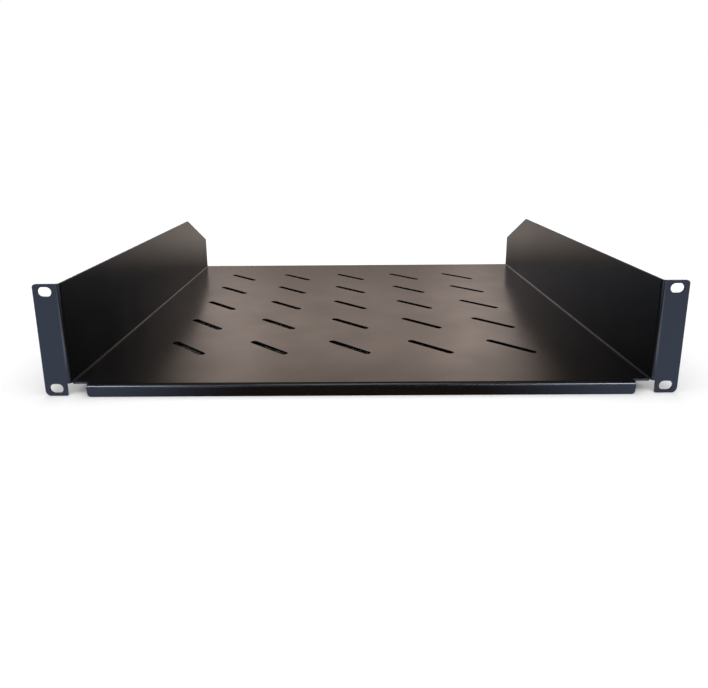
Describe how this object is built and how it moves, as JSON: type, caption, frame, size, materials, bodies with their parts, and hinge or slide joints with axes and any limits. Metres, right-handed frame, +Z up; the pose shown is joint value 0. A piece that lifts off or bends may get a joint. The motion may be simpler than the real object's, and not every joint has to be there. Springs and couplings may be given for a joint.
{
  "type": "cantilever rack shelf",
  "caption": "Shallow open tray with side walls, front lip, slanted vent slots and slotted ears that bolt it by its front edge alone to a 19-inch rack.",
  "frame": {"origin": "centre of the four ear slots, on the plane where the backs of the ears seat against the rack's front rails", "axes": "+X to the right seen from the front of the rack, +Y into the rack, +Z up"},
  "size_m": [0.4826, 0.4525, 0.0882],
  "materials": {
    "powder_coat": "satin black powder coat with a fine texture, on folded steel sheet"
  },
  "bodies": {
    "root": {"folded_shelf": "powder_coat"}
  },
  "joints": []
}
